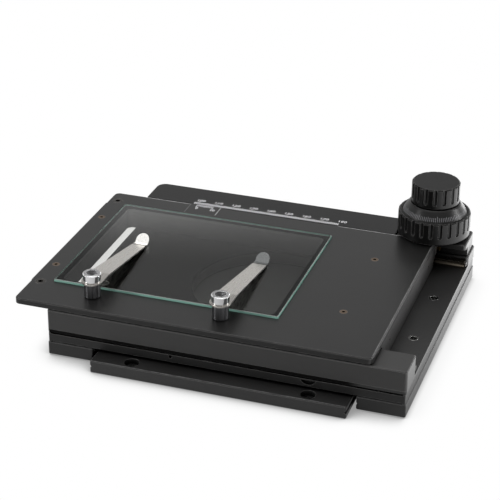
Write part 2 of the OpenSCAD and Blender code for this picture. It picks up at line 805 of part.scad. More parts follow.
module fixed_rail_screws() {
    color([0.35, 0.34, 0.33])
        for (x = rail_screw_x, y = [bar_back_y + rail_screw_back, beam_front_y - rail_screw_back])
            translate([x, y, fixed_rail_top_z])
                screw(small_head_d, small_head_h, small_shank_d, fixed_rail_screw_len,
                    small_shank_d * 0.7);
}

// End screws keep the ball cages between the rails. Their heads cover the ends of the grooves.
end_head_h = 0.8;
end_head_d = 2.4;
end_shank_d = 1;
end_screw_len = 4;
end_screw_inset = 1.5;
end_screw_places = [for (side = [-1, 1],
    y = [bar_back_y + rail_w - end_screw_inset, beam_front_y - rail_w + end_screw_inset]) [side, y]];

module rail_end_screw_holes() {
    for (place = end_screw_places)
        translate([place[0] * (fixed_rail_w / 2), place[1], groove_z])
            rotate([0, place[0] * 90, 0])
                translate([0, 0, -end_screw_len])
                    cylinder(d = end_shank_d + 2 * screw_gap, h = end_screw_len + eps);
}

module rail_end_screws() {
    color([0.3, 0.3, 0.3])
        for (place = end_screw_places)
            translate([place[0] * (fixed_rail_w / 2 + end_head_h), place[1], groove_z])
                rotate([0, place[0] * 90, 0])
                    screw(end_head_d, end_head_h, end_shank_d, end_screw_len, end_shank_d * 0.9);
}

module scale_riser() {
    rack_room = 0.8;
    riser_y = drive_y - pitch_r + addendum + rack_room;
    color([0.18, 0.18, 0.18])
        difference() {
            translate([scale_x, riser_y, beam_top_z])
                slab(scale_w, housing_rear_y - riser_y, plate_z - beam_top_z, corner_r);
            beam_screw_holes();
        }
}

// The corner at the rear left is round, the others are nearly sharp
module scale_plate() {
    sharp_r = 0.6;
    inset_y = 0.2;
    scale_d = rear_y - inset_y - scale_y;
    color([0.19, 0.19, 0.19])
        difference() {
            translate([scale_x, scale_y, plate_z])
                union() {
                    intersection() {
                        slab(scale_w, scale_d, plate_h, scale_corner_r, plate_chamfer / 2);
                        cube([scale_w / 2, scale_d, plate_h]);
                    }
                    translate([scale_corner_r, 0, 0])
                        slab(scale_w - scale_corner_r, scale_d, plate_h, sharp_r, plate_chamfer / 2);
                    slab(scale_w, scale_d - scale_corner_r, plate_h, sharp_r, plate_chamfer / 2);
                }
            beam_screw_holes();
        }
}

module knob_housing() {
    lip_z = housing_top_z - lip_h;
    rack_room = 0.7;
    slot_d = drive_y - pitch_r + addendum + rack_room - scale_y;
    color([0.2, 0.2, 0.2])
        difference() {
            translate([housing_x, scale_y, beam_top_z])
                slab(housing_w, housing_d, housing_h, corner_r, edge_chamfer, 0);
            // way for the X rack, open at the front and at both ends
            translate([housing_x - eps, scale_y - eps, beam_top_z - eps])
                cube([housing_w + 2 * eps, slot_d + eps, lip_z - beam_top_z + eps]);
            translate([drive_x, drive_y, beam_top_z - eps])
                cylinder(r = tip_r + pinion_gap, h = lip_z - beam_top_z + eps);
            translate([drive_x, drive_y, beam_top_z])
                cylinder(r = bush_r + fit_clear, h = housing_h + eps);
            housing_screw_holes();
        }
}

bush_flange_h = knob_z - housing_top_z - run_gap;
bush_share = 0.45;
bush_top_z = knob_z + x_knob_h * bush_share;

// Bearing bush of the hollow shaft, its flange on top of the housing
module drive_bush() {
    color([0.72, 0.56, 0.3])
        translate([drive_x, drive_y, 0])
            difference() {
                union() {
                    translate([0, 0, housing_top_z - lip_h])
                        cylinder(r = bush_r, h = bush_top_z - housing_top_z + lip_h);
                    translate([0, 0, housing_top_z])
                        cylinder(r = bush_flange_r, h = bush_flange_h);
                }
                translate([0, 0, beam_top_z])
                    cylinder(r = outer_shaft_r + shaft_clear, h = bush_top_z);
            }
}

// Bush in the rear beam that guides the foot of the inner shaft
module lower_bush() {
    color([0.72, 0.56, 0.3])
        translate([drive_x, drive_y, floor_z])
            difference() {
                cylinder(r = outer_shaft_r, h = rear_beam_h);
                translate([0, 0, -eps])
                    cylinder(r = inner_shaft_r + shaft_clear, h = rear_beam_h + 2 * eps);
            }
}

// ---------------------------------------------------------------- ball cages

y_ball_count = floor(y_cage_len / y_ball_pitch);
x_ball_count = floor(x_cage_len / x_ball_pitch);
function y_ball_at(i) = y_cage_y + y_cage_len / 2 + (i - (y_ball_count - 1) / 2) * y_ball_pitch;
function x_ball_at(i) = x_cage_x + x_cage_len / 2 + (i - (x_ball_count - 1) / 2) * x_ball_pitch;
y_cage_h = 3.4;
x_cage_h = 2.6;

// Strip with a hole round each ball, in the gap beside the mounting plate
module y_cage(side) {
    color([0.75, 0.6, 0.3])
        difference() {
            translate([side * (mount_half_w + guide_gap / 2) - cage_t / 2, y_cage_y,
                    guide_groove_z - y_cage_h / 2])
                cube([cage_t, y_cage_len, y_cage_h]);
            for (i = [0:y_ball_count - 1])
                translate([side * (mount_half_w + guide_gap / 2) - cage_t, y_ball_at(i), guide_groove_z])
                    rotate([0, 90, 0])
                        cylinder(r = y_ball_r + ball_clear, h = 2 * cage_t);
        }
}

module y_balls(side) {
    color([0.8, 0.8, 0.82])
        for (i = [0:y_ball_count - 1])
            translate([side * (mount_half_w + guide_gap / 2), y_ball_at(i), guide_groove_z])
                sphere(r = y_ball_r, $fn = 24);
}

module y_cage_left() {
    y_cage(-1);
}

module y_cage_right() {
    y_cage(1);
}

module y_balls_left() {
    y_balls(-1);
}

module y_balls_right() {
    y_balls(1);
}

// Strip with a hole round each ball, between a fixed and a moving rail
module x_cage(mid_y) {
    color([0.75, 0.6, 0.3])
        difference() {
            translate([x_cage_x, mid_y - cage_t / 2, groove_z - x_cage_h / 2])
                cube([x_cage_len, cage_t, x_cage_h]);
            for (i = [0:x_ball_count - 1])
                translate([x_ball_at(i), mid_y - cage_t, groove_z])
                    rotate([-90, 0, 0])
                        cylinder(r = x_ball_r + ball_clear, h = 2 * cage_t);
        }
}

module x_balls(mid_y) {
    color([0.8, 0.8, 0.82])
        for (i = [0:x_ball_count - 1])
            translate([x_ball_at(i), mid_y, groove_z])
                sphere(r = x_ball_r, $fn = 24);
}

x_gap_front_y = bar_back_y + rail_w + rail_gap / 2;
x_gap_rear_y = beam_front_y - rail_w - rail_gap / 2;

module x_cage_front() {
    x_cage(x_gap_front_y);
}

module x_cage_rear() {
    x_cage(x_gap_rear_y);
}

module x_balls_front() {
    x_balls(x_gap_front_y);
}

module x_balls_rear() {
    x_balls(x_gap_rear_y);
}

// ---------------------------------------------------------------- X stage

module plate_screw_holes() {
    for (place = plate_screw_places)
        translate([place[0], place[1], plate_top_z])
            screw_hole(plate_head_d, plate_head_h, plate_shank_d, plate_screw_len);
    for (place = edge_screw_places)
        translate([place[0], place[1], plate_top_z])
            screw_hole(edge_head_d, edge_head_h, edge_shank_d, edge_screw_len);
}

module glass_opening() {
    opening_r = 3;
    translate([glass_x + glass_ledge, glass_y + glass_ledge, 0])
        slab(glass_w - 2 * glass_ledge, glass_d - 2 * glass_ledge, 2 * plate_top_z, opening_r);
}

module stage_plate() {
    recess_r = 0.8;
    step_d = plate_d - edge_step_front - edge_step_rear;
    step_r = edge_step + plate_chamfer;
    color([0.22, 0.22, 0.22])
        difference() {
            union() {
                translate([plate_x, front_y, plate_z])
                    slab(plate_w, plate_d, plate_h, plate_corner_r, plate_chamfer);
                translate([plate_x - edge_step, front_y + edge_step_front, plate_z])
                    slab(plate_corner_r + 2 * step_r, step_d, plate_h, step_r, plate_chamfer);
            }
            glass_opening();
            translate([glass_x - glass_gap, glass_y - glass_gap, glass_z])
                slab(glass_w + 2 * glass_gap, glass_d + 2 * glass_gap, plate_h, recess_r);
            translate([plate_x + vernier_inset, plate_rear_y - vernier_d, plate_top_z - vernier_h])
                cube([vernier_w, vernier_d + eps, vernier_h + eps]);
            plate_screw_holes();
            for (place = post_places)
                translate([place[0], place[1], plate_top_z - stud_h - screw_gap])
                    cylinder(r = stud_r + screw_gap, h = plate_h);
        }
}

module stage_frame() {
    color([0.18, 0.18, 0.18])
        difference() {
            union() {
                translate([frame_x, frame_y, frame_z])
                    slab(frame_w, frame_d, frame_h, corner_r);
                translate([frame_x, foot_y, foot_z])
                    cube([frame_w, foot_d, frame_z - foot_z + eps]);
            }
            glass_opening();
            plate_screw_holes();
            moving_rail_screw_holes();
            x_rack_screw_holes();
            end_cover_screw_holes();
        }
}

// Plate over the right end of the frame. Its foot clears the two fixed rails.
module end_cover() {
    foot_front_y = moving_front_y + rail_w + run_gap;
    foot_rear_y = moving_rear_y - run_gap;
    color([0.22, 0.22, 0.23])
        difference() {
            union() {
                translate([frame_end_x, frame_y, frame_z])
                    cube([end_cover_h, frame_d, frame_h]);
                translate([frame_end_x, foot_front_y, moving_rail_z])
                    cube([end_cover_h, foot_rear_y - foot_front_y, frame_z - moving_rail_z]);
            }
            end_cover_screw_holes();
        }
}

cover_screw_share = 0.36;
end_cover_screw_places = [for (side = [-1, 1])
    [(frame_y + frame_rear_y) / 2 + side * frame_d * cover_screw_share,
        frame_z + frame_h * cover_screw_share]];
cover_head_h = 0.9;
cover_screw_len = end_cover_h + long_grip;

module end_cover_screw_holes() {
    for (place = end_cover_screw_places)
        translate([plate_end_x, place[0], place[1]])
            rotate([0, 90, 0])
                screw_hole(small_head_d, cover_head_h, small_shank_d, cover_screw_len);
}

module end_cover_screws() {
    color([0.25, 0.25, 0.25])
        for (place = end_cover_screw_places)
            translate([plate_end_x, place[0], place[1]])
                rotate([0, 90, 0])
                    screw(small_head_d, cover_head_h, small_shank_d, cover_screw_len,
                        small_shank_d * 0.7);
}

moving_screw_inset = 8;
moving_screw_pitch = (frame_w - 2 * moving_screw_inset) / (rail_screw_count - 1);
moving_rail_screw_x = [for (i = [0:rail_screw_count - 1])
    frame_x + moving_screw_inset + i * moving_screw_pitch];
moving_rail_screw_y = [moving_front_y + rail_w - rail_screw_back, moving_rear_y + rail_screw_back];

module moving_rail_screw_holes() {
    for (x = moving_rail_screw_x, y = moving_rail_screw_y)
        translate([x, y, moving_rail_z])
            mirror([0, 0, 1])
                screw_hole(small_head_d, small_head_h, small_shank_d, moving_rail_screw_len);
}

module moving_rail_screws() {
    color([0.35, 0.34, 0.33])
        for (x = moving_rail_screw_x, y = moving_rail_screw_y)
            translate([x, y, moving_rail_z])
                mirror([0, 0, 1])
                    screw(small_head_d, small_head_h, small_shank_d, moving_rail_screw_len,
                        small_shank_d * 0.7);
}

// A moving rail from low_y, its groove on the face at groove_y
module moving_rail(low_y, groove_y) {
    color([0.72, 0.71, 0.68])
        difference() {
            translate([frame_x, low_y, moving_rail_z])
                cube([frame_w, rail_w, rail_h]);
            translate([frame_x - eps, groove_y, groove_z])
                groove_x(frame_w + 2 * eps, rail_groove);
            moving_rail_screw_holes();
        }
}

module moving_rail_front() {
    moving_rail(moving_front_y, moving_front_y);
}

module moving_rail_rear() {
    moving_rail(moving_rear_y, moving_rear_y + rail_w);
}

module x_rack_screw_holes() {
    for (x = x_rack_screw_x)
        translate([x, drive_y - pitch_r - dedendum, x_rack_screw_z])
            rotate([-90, 0, 0])
                screw_hole(small_head_d, small_head_h, small_shank_d, x_rack_screw_len);
}

module x_rack() {
    color([0.75, 0.75, 0.73])
        difference() {
            translate([plate_end_x, drive_y - pitch_r, x_pinion_z])
                rotate([0, 0, 90])
                    linear_extrude(x_pinion_top_z - x_pinion_z)
                        rack_outline(x_rack_w, x_rack_back, plate_end_x - drive_x);
            for (x = x_rack_screw_x)
                translate([x, drive_y - pitch_r + addendum, x_rack_screw_z])
                    rotate([-90, 0, 0])
                        translate([0, 0, -addendum])
                            cylinder(d = small_head_d + 2 * screw_gap, h = 2 * addendum);
            x_rack_screw_holes();
        }
}

module x_rack_screws() {
    color([0.35, 0.34, 0.33])
        for (x = x_rack_screw_x)
            translate([x, drive_y - pitch_r - dedendum, x_rack_screw_z])
                rotate([-90, 0, 0])
                    screw(small_head_d, small_head_h, small_shank_d, x_rack_screw_len,
                        small_shank_d * 0.7);
}

module plate_screws() {
    color([0.32, 0.27, 0.2])
        for (place = plate_screw_places)
            translate([place[0], place[1], plate_top_z])
                screw(plate_head_d, plate_head_h, plate_shank_d, plate_screw_len, plate_shank_d * 0.8);
}

module edge_screws() {
    color([0.2, 0.2, 0.2])
        for (place = edge_screw_places)
            translate([place[0], place[1], plate_top_z])
                screw(edge_head_d, edge_head_h, edge_shank_d, edge_screw_len, edge_shank_d * 0.9);
}

module glass_plate() {
    glass_edge = 0.3;
    color([0.7, 0.9, 0.85, 0.4])
        translate([glass_x, glass_y, glass_z])
            slab(glass_w, glass_d, glass_h, 2 * glass_edge, glass_edge, glass_edge);
}

module vernier_plate() {
    vernier_fit = 0.2;
    color([0.15, 0.15, 0.15])
        translate([plate_x + vernier_inset + vernier_fit, plate_rear_y - vernier_d + vernier_fit,
                plate_top_z - vernier_h])
            cube([vernier_w - 2 * vernier_fit, vernier_d - vernier_fit, vernier_h]);
}

// ---------------------------------------------------------------- clips

clip_z = plate_top_z + post_h;
clip_hole_gap = 0.1;
clip_hole_r = stud_r + clip_hole_gap;

// Post with a small foot fillet, a stud below and a threaded hole for the clip screw
module clip_post(place) {
    foot = 0.5;
    color([0.06, 0.06, 0.06])
        translate([place[0], place[1], plate_top_z])
            difference() {
                rotate_extrude()
                    polygon([[0, -stud_h], [stud_r, -stud_h], [stud_r, 0], [post_r - foot, 0],
                        [post_r, foot], [post_r, post_h - foot], [post_r - foot, post_h],
                        [0, post_h]]);
                translate([0, 0, post_h - post_thread_h - screw_gap])
                    cylinder(r = stud_r + fit_clear, h = post_thread_h + 2 * screw_gap);
            }
}

module clip_post_left() {
    clip_post(post_places[0]);
}

module clip_post_right() {
    clip_post(post_places[1]);
}

// Polished screw with small edge chamfers and a hexagon socket
module clip_screw(place) {
    rim = 0.4;
    socket_r = 3.1;
    socket_share = 0.65;
    socket_h = clip_head_h * socket_share;
    head_z = clip_t + 2 * shaft_clear;
    color([0.85, 0.85, 0.86])
        translate([place[0], place[1], clip_z])
            difference() {
                rotate_extrude()
                    polygon([[0, -post_thread_h], [stud_r, -post_thread_h], [stud_r, head_z],
                        [clip_head_r - rim / 2, head_z], [clip_head_r, head_z + rim / 2],
                        [clip_head_r, head_z + clip_head_h - rim],
                        [clip_head_r - rim, head_z + clip_head_h], [0, head_z + clip_head_h]]);
                translate([0, 0, head_z + clip_head_h - socket_h])
                    cylinder(r = socket_r, h = socket_h + eps, $fn = 6);
            }
}

module clip_screw_left() {
    clip_screw(post_places[0]);
}

module clip_screw_right() {
    clip_screw(post_places[1]);
}

// Outline of a clip seen from above: a round eye, a taper to the fold and a round tip
module clip_outline(tip_y) {
    end_r = clip_w / 2;
    round_y = tip_y - end_r * cos(tip_angle);
    step = 15;
    circle(r = clip_eye_r);
    polygon(concat([[clip_eye_r, 0], [end_r, clip_length]],
        [for (turn = [0:step:half_turn])
            [end_r * cos(turn), round_y + end_r * cos(tip_angle) * sin(turn)]],
        [[-end_r, clip_length], [-clip_eye_r, 0]]));
}

// Spring-steel blade along +Y from its eye, which lies at the origin. The blade drops to the
// glass, where it is folded, and its round tip turns up.
module clip_blade() {
    eye_reach = 9;
    drop = post_h - glass_proud - clip_gap;
    slope = atan(drop / (clip_length - eye_reach));
    tip_y = clip_length + tip_length * cos(tip_angle);
    tip_z = -drop + tip_length * sin(tip_angle);
    skin = clip_t / cos(slope);
    difference() {
        intersection() {
            translate([-clip_eye_r, 0, 0])
                rotate([90, 0, 90])
                    linear_extrude(2 * clip_eye_r)
                        polygon([[-clip_eye_r, 0], [eye_reach, 0], [clip_length, -drop],
                            [tip_y, tip_z],
                            [tip_y - clip_t * sin(tip_angle), tip_z + clip_t * cos(tip_angle)],
                            [clip_length, -drop + skin], [eye_reach, clip_t], [-clip_eye_r, clip_t]]);
            translate([0, 0, -2 * drop])
                linear_extrude(4 * drop)
                    clip_outline(tip_y - clip_t * sin(tip_angle));
        }
        translate([0, 0, -clip_t])
            cylinder(r = clip_hole_r, h = 3 * clip_t);
    }
}

module clip(place, angle) {
    color([0.78, 0.77, 0.74])
        translate([place[0], place[1], clip_z + shaft_clear])
            rotate([0, 0, -angle])
                clip_blade();
}

module clip_left() {
    clip(post_places[0], left_clip_angle);
}

module clip_right() {
    clip(post_places[1], right_clip_angle);
}

// ---------------------------------------------------------------- drives

x_knob_foot = 3.6;
y_knob_foot = 2;
knob_crown = 2;
knob_cavity_h = bush_top_z + run_gap - knob_z;
dial_seat_h = 0.8;

module x_knob() {
    color([0.11, 0.11, 0.11])
        translate([drive_x, drive_y, knob_z])
            difference() {
                fluted_knob(x_knob_r, x_knob_h, x_flutes, x_knob_foot);
                // room for the bush and its flange
                translate([0, 0, -eps])
                    cylinder(r = bush_r + 3 * run_gap, h = knob_cavity_h + eps);
                translate([0, 0, -eps])
                    cylinder(r = outer_shaft_r + fit_clear, h = x_knob_h + 2 * eps);
                // seat of the graduated dial
                translate([0, 0, x_knob_h - dial_seat_h])
                    cylinder(r = dial_r + run_gap, h = dial_seat_h + eps);
                knob_screw_hole(x_knob_r, knob_screw_z);
            }
}

knob_screw_z = x_knob_h * 0.7;
knob_screw_r = 1.5;
knob_screw_len = 8;

// Radial hole at the back of a knob for its set screw
module knob_screw_hole(r, z) {
    translate([0, 0, z])
        rotate([-90, 0, 0])
            cylinder(r = knob_screw_r + screw_gap, h = r + 1);
}

module knob_screw(shaft_r, z) {
    socket_h = 2;
    translate([0, 0, z])
        rotate([-90, 0, 0])
            translate([0, 0, shaft_r + screw_gap])
                difference() {
                    cylinder(r = knob_screw_r, h = knob_screw_len);
                    translate([0, 0, knob_screw_len - socket_h])
                        cylinder(r = knob_screw_r * 0.55, h = socket_h + eps, $fn = 6);
                }
}

module x_knob_screw() {
    color([0.3, 0.3, 0.3])
        translate([drive_x, drive_y, knob_z])
            knob_screw(outer_shaft_r, knob_screw_z);
}

// Cone with the graduation, seated in the top of the large knob
module graduated_dial() {
    rim = 0.5;
    color([0.14, 0.14, 0.14])
        translate([drive_x, drive_y, dial_z - dial_seat_h])
            difference() {
                rotate_extrude()
                    polygon([[0, 0], [dial_r, 0], [dial_r, dial_seat_h],
                        [dial_top_r, dial_seat_h + dial_h - rim],
                        [dial_top_r - rim, dial_seat_h + dial_h], [0, dial_seat_h + dial_h]]);
                translate([0, 0, -eps])
                    cylinder(r = outer_shaft_r + fit_clear, h = dial_h + 2);
            }
}

module x_shaft() {
    color([0.7, 0.7, 0.7])
        translate([drive_x, drive_y, 0])
            difference() {
                translate([0, 0, x_pinion_z - run_gap / 2])
                    cylinder(r = outer_shaft_r, h = dial_z + dial_h - x_pinion_z);
                translate([0, 0, beam_top_z])
                    cylinder(r = inner_shaft_r + shaft_clear, h = dial_z);
            }
}

// The X rack lies in front of the pinion, so a tooth points to the front
module x_pinion() {
    color([0.72, 0.56, 0.3])
        translate([drive_x, drive_y, x_pinion_z])
            rotate([0, 0, 90])
                difference() {
                    linear_extrude(x_pinion_top_z - x_pinion_z)
                        pinion_outline();
                    translate([0, 0, -eps])
                        cylinder(r = outer_shaft_r + fit_clear, h = housing_h);
                }
}

// The Y rack lies to the left of the pinion, so a tooth points to the left
module y_pinion() {
    color([0.72, 0.56, 0.3])
        translate([drive_x, drive_y, y_pinion_z])
            difference() {
                linear_extrude(y_pinion_top_z - y_pinion_z)
                    pinion_outline();
                translate([0, 0, -eps])
                    cylinder(r = inner_shaft_r + fit_clear, h = spacer_h);
            }
}

module y_shaft() {
    color([0.7, 0.7, 0.7])
        translate([drive_x, drive_y, y_pinion_z - run_gap / 2])
            cylinder(r = inner_shaft_r, h = y_knob_top_z - knob_crown - y_pinion_z);
}

module y_knob() {
    color([0.11, 0.11, 0.11])
        translate([drive_x, drive_y, y_knob_z])
            difference() {
                fluted_knob(y_knob_r, y_knob_h, y_flutes, y_knob_foot);
                translate([0, 0, -eps])
                    cylinder(r = inner_shaft_r + fit_clear,
                        h = y_knob_h - knob_crown - run_gap / 2 + eps + fit_clear);
                knob_screw_hole(y_knob_r, y_knob_h / 2);
            }
}

module y_knob_screw() {
    color([0.3, 0.3, 0.3])
        translate([drive_x, drive_y, y_knob_z])
            knob_screw(inner_shaft_r, y_knob_h / 2);
}

mounting_plate();
y_rack();
y_rack_screws();
guide_block_left();
guide_block_right();
spacer_plate();
channel_floor();
carriage_screws();
front_bar();
rear_beam();
beam_screws();
fixed_rail_front();
fixed_rail_rear();
fixed_rail_screws();
rail_end_screws();
scale_riser();
scale_plate();
knob_housing();
drive_bush();
lower_bush();
y_cage_left();
y_cage_right();
y_balls_left();
y_balls_right();
stage_plate();
stage_frame();
end_cover();
end_cover_screws();
moving_rail_front();
moving_rail_rear();
moving_rail_screws();
x_rack();
x_rack_screws();
plate_screws();
edge_screws();
glass_plate();
vernier_plate();
clip_post_left();
clip_post_right();
clip_screw_left();
clip_screw_right();
clip_left();
clip_right();
x_cage_front();
x_cage_rear();
x_balls_front();
x_balls_rear();
x_knob();
graduated_dial();
x_shaft();
x_pinion();
x_knob_screw();
y_knob();
y_shaft();
y_pinion();
y_knob_screw();
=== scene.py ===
import math

import bpy
from mathutils import Matrix, Vector


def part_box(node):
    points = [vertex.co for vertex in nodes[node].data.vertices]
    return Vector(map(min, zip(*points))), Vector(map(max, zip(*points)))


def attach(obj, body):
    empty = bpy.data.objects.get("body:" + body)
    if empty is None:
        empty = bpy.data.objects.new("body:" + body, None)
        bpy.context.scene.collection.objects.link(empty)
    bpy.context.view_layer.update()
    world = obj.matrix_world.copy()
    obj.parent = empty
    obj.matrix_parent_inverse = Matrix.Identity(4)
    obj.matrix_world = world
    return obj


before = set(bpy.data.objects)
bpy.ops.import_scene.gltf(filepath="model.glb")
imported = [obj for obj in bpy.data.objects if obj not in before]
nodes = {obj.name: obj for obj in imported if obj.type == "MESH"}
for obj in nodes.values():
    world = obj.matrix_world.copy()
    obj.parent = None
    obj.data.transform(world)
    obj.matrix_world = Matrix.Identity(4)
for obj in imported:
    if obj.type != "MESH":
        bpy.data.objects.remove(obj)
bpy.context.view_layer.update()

MM = 0.001
scene = bpy.context.scene
scene.view_settings.view_transform = "Standard"


# ---------------------------------------------------------------- camera

AZIMUTH = math.radians(18.36)
ELEVATION = math.radians(26.72)
ROLL = math.radians(0.47)
CAMERA_AT = Vector((0.23055, -0.72795, 0.42121))
SENSOR_MM = 36
LENS_MM = 121.92
CLIP_NEAR = 0.05
CLIP_FAR = 60

flat_right = Vector((math.cos(AZIMUTH), math.sin(AZIMUTH), 0))
back = Vector((math.sin(AZIMUTH) * math.cos(ELEVATION),
               -math.cos(AZIMUTH) * math.cos(ELEVATION),
               math.sin(ELEVATION)))
flat_up = back.cross(flat_right)
right = flat_right * math.cos(ROLL) + flat_up * math.sin(ROLL)
up = back.cross(right)
camera_data = bpy.data.cameras.new("camera")
camera = bpy.data.objects.new("camera", camera_data)
scene.collection.objects.link(camera)
camera.matrix_world = Matrix((
    (right.x, up.x, back.x, CAMERA_AT.x),
    (right.y, up.y, back.y, CAMERA_AT.y),
    (right.z, up.z, back.z, CAMERA_AT.z),
    (0, 0, 0, 1)))
camera_data.sensor_width = SENSOR_MM
camera_data.lens = LENS_MM
camera_data.clip_start = CLIP_NEAR
camera_data.clip_end = CLIP_FAR
scene.camera = camera


# ---------------------------------------------------------------- node helpers

BEVEL_SAMPLES = 6
CREVICE_SAMPLES = 12
# metres
GRAIN_HEIGHT = 0.00002
PAINT_HEIGHT = 0.00001
# noise scales, per metre
CLOUDS = 28
STAINS = 60
SCUFFS = 420
STREAKS = 900
GRAIN = 2600
# the middle part of a noise, spread over a full ramp
NOISE_LOW = 0.3
NOISE_HIGH = 0.7
WARMTH = 0.02


class Nodes:
    """A node tree and short ways to add to it."""

    def __init__(self, tree):
        self.tree = tree

    def add(self, kind):
        return self.tree.nodes.new(kind)

    def put(self, value, socket):
        """Links a socket, or sets a plain value."""
        if isinstance(value, bpy.types.NodeSocket):
            self.tree.links.new(value, socket)
        else:
            socket.default_value = value

    def math(self, kind, a, b=0.0):
        node = self.add("ShaderNodeMath")
        node.operation = kind
        for value, socket in zip((a, b), node.inputs):
            self.put(value, socket)
        return node.outputs[0]

    def ramp(self, value, low, high, to_low, to_high, smooth=False):
        """value between low and high, mapped to to_low and to_high and held there outside."""
        node = self.add("ShaderNodeMapRange")
        if smooth:
            node.interpolation_type = "SMOOTHSTEP"
        for given, socket in zip((value, low, high, to_low, to_high), node.inputs):
            self.put(given, socket)
        return node.outputs["Result"]

    def part_of(self, vector, axis):
        """One axis, X, Y or Z, of a vector."""
        node = self.add("ShaderNodeSeparateXYZ")
        self.put(vector, node.inputs[0])
        return node.outputs[axis]

    def mix(self, fac, a, b):
        """Shader a where fac is 0, b where it is 1."""
        node = self.add("ShaderNodeMixShader")
        self.put(fac, node.inputs["Fac"])
        self.put(a, node.inputs[1])
        self.put(b, node.inputs[2])
        return node.outputs[0]


class Tree(Nodes):
    """A material round one Principled shader."""

    def __init__(self, name):
        self.material = bpy.data.materials.new(name)
        self.material.use_nodes = True
        super().__init__(self.material.node_tree)
        self.shader = self.tree.nodes["Principled BSDF"]
        self.at = self.add("ShaderNodeTexCoord").outputs["Object"]

    def vmath(self, kind, a, b, out="Vector"):
        node = self.add("ShaderNodeVectorMath")
        node.operation = kind
        self.put(a, node.inputs[0])
        self.put(b, node.inputs[1])
        return node.outputs[out]

    def noise(self, scale, detail, rough, vector=None):
        node = self.add("ShaderNodeTexNoise")
        self.put(vector or self.at, node.inputs["Vector"])
        node.inputs["Scale"].default_value = scale
        node.inputs["Detail"].default_value = detail
        node.inputs["Roughness"].default_value = rough
        return node.outputs["Fac"]

    def spread(self, noise, low, high):
        """A noise spread from low to high."""
        return self.ramp(noise, NOISE_LOW, NOISE_HIGH, low, high)

    def colour(self, fac, a, b):
        node = self.add("ShaderNodeMix")
        node.data_type = "RGBA"
        self.put(fac, node.inputs["Factor"])
        self.put((*a, 1) if isinstance(a, tuple) else a, node.inputs[6])
        self.put((*b, 1) if isinstance(b, tuple) else b, node.inputs[7])
        return node.outputs[2]

    def edge(self, radius):
        """1 on sharp edges, 0 on faces, and the rounded normal."""
        bevel = self.add("ShaderNodeBevel")
        bevel.samples = BEVEL_SAMPLES
        bevel.inputs["Radius"].default_value = radius
        plain = self.add("ShaderNodeNewGeometry").outputs["Normal"]
        dot = self.vmath("DOT_PRODUCT", bevel.outputs["Normal"], plain, "Value")
        return self.ramp(dot, 0.995, 0.85, 0.0, 1.0), bevel.outputs["Normal"]

    def crevice(self, distance, low=0.35, high=0.9, alone=True):
        """0 deep in holes and corners, 1 on open faces; alone leaves the other pieces out."""
        node = self.add("ShaderNodeAmbientOcclusion")
        node.samples = CREVICE_SAMPLES
        node.only_local = alone
        node.inputs["Distance"].default_value = distance
        return self.ramp(node.outputs["AO"], low, high, 0.0, 1.0)

    def bump(self, height, strength, distance, normal=None):
        node = self.add("ShaderNodeBump")
        node.inputs["Strength"].default_value = strength
        node.inputs["Distance"].default_value = distance
        self.put(height, node.inputs["Height"])
        if normal is not None:
            self.put(normal, node.inputs["Normal"])
        self.tree.links.new(node.outputs["Normal"], self.shader.inputs["Normal"])

    def set(self, **values):
        for key, value in values.items():
            self.put(value, self.shader.inputs[key.replace("_", " ")])


def grey(v, warm=0.0):
    """A grey, a little warmer by the given share."""
    return (v * (1 + warm), v, v * (1 - warm))


def shaded(colour, share):
    """A colour times a share, at most white."""
    return tuple(min(1, part * share) for part in colour)


def anodised(name, tone, rough, abrasion_and_highlight_tone, grain=0.35, edge_radius=0.00022, shine=0.5, deep=0.0, painted_shadow_x=None):
    """Black anodised, bead-blasted aluminium: fine grain, faint clouds, and sharp edges lighter in scuffed
    patches, partly abrasion and partly a painted edge highlight.

    Given a depth, it paints shade, a darker colour and less shine, on what lies closer than that to its
    surroundings; given an x, it adds a painted shadow left of that x.
    """
    t = Tree(name)
    clouds = t.noise(CLOUDS, 4, 0.55)
    fine = t.noise(GRAIN, 2, 0.6)
    edge, rounded = t.edge(edge_radius)
    scuff = t.noise(SCUFFS, 3, 0.6)
    # sharp edges lighter in scuffed patches: partly abrasion, partly a painted highlight along the edges
    abrasion_and_highlight = t.math("MULTIPLY", edge, t.ramp(scuff, 0.35, 0.65, 0.45, 1.0))
    base = t.colour(clouds, grey(tone * 0.8, WARMTH), grey(tone * 1.25, WARMTH))
    face = t.colour(abrasion_and_highlight, base, grey(abrasion_and_highlight_tone, WARMTH))
    # painted shade: darker and less shiny in holes and corners, and left of an x under the stage plate
    if deep:
        open_sky = t.crevice(deep, 0.15, 0.6, False)
        if painted_shadow_x:
            reached = t.ramp(t.part_of(t.at, "X"), painted_shadow_x - 0.006, painted_shadow_x, 0.12, 1.0)
            open_sky = t.math("MULTIPLY", open_sky, reached)
        face = t.colour(open_sky, grey(tone * 0.1), face)
        shine = t.math("MULTIPLY", open_sky, shine)
    t.set(Specular_IOR_Level=shine)
    t.set(Base_Color=face)
    t.set(Roughness=t.math("ADD", t.spread(clouds, rough - 0.03, rough + 0.04), t.spread(fine, -0.03, 0.03)))
    t.bump(fine, grain, GRAIN_HEIGHT, rounded)
    return t.material


